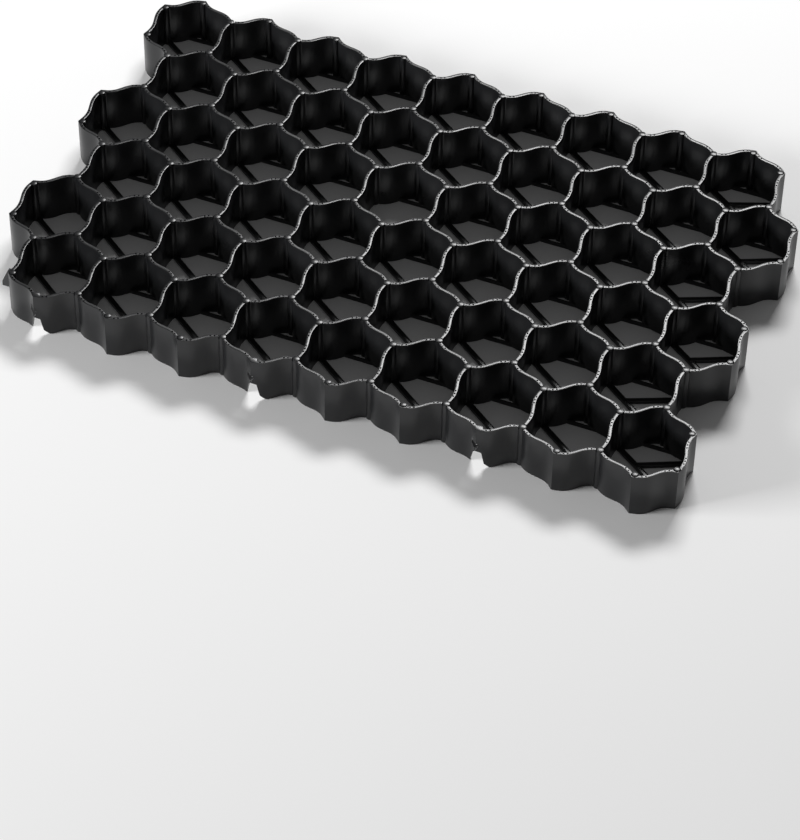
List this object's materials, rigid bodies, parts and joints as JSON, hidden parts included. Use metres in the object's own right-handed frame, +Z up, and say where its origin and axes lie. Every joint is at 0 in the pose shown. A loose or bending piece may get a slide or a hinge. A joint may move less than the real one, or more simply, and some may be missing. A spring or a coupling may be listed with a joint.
{
  "type": "grass paver grid",
  "caption": "Moulded plastic ground-reinforcement panel: rows of wavy-walled hexagonal cells with floor bars and edge notches, filled with soil or gravel.",
  "frame": {"origin": "middle of the panel's outline, on its underside", "axes": "+X along the rows of cells, the panel's length; +Y from the front row to the back row; +Z up, from the floor bars to the open rim"},
  "size_m": [0.6046, 0.3998, 0.04],
  "materials": {
    "black_plastic": "satin charcoal-black recycled plastic, as moulded"
  },
  "bodies": {
    "root": {"paver_grid": "black_plastic"}
  },
  "joints": []
}
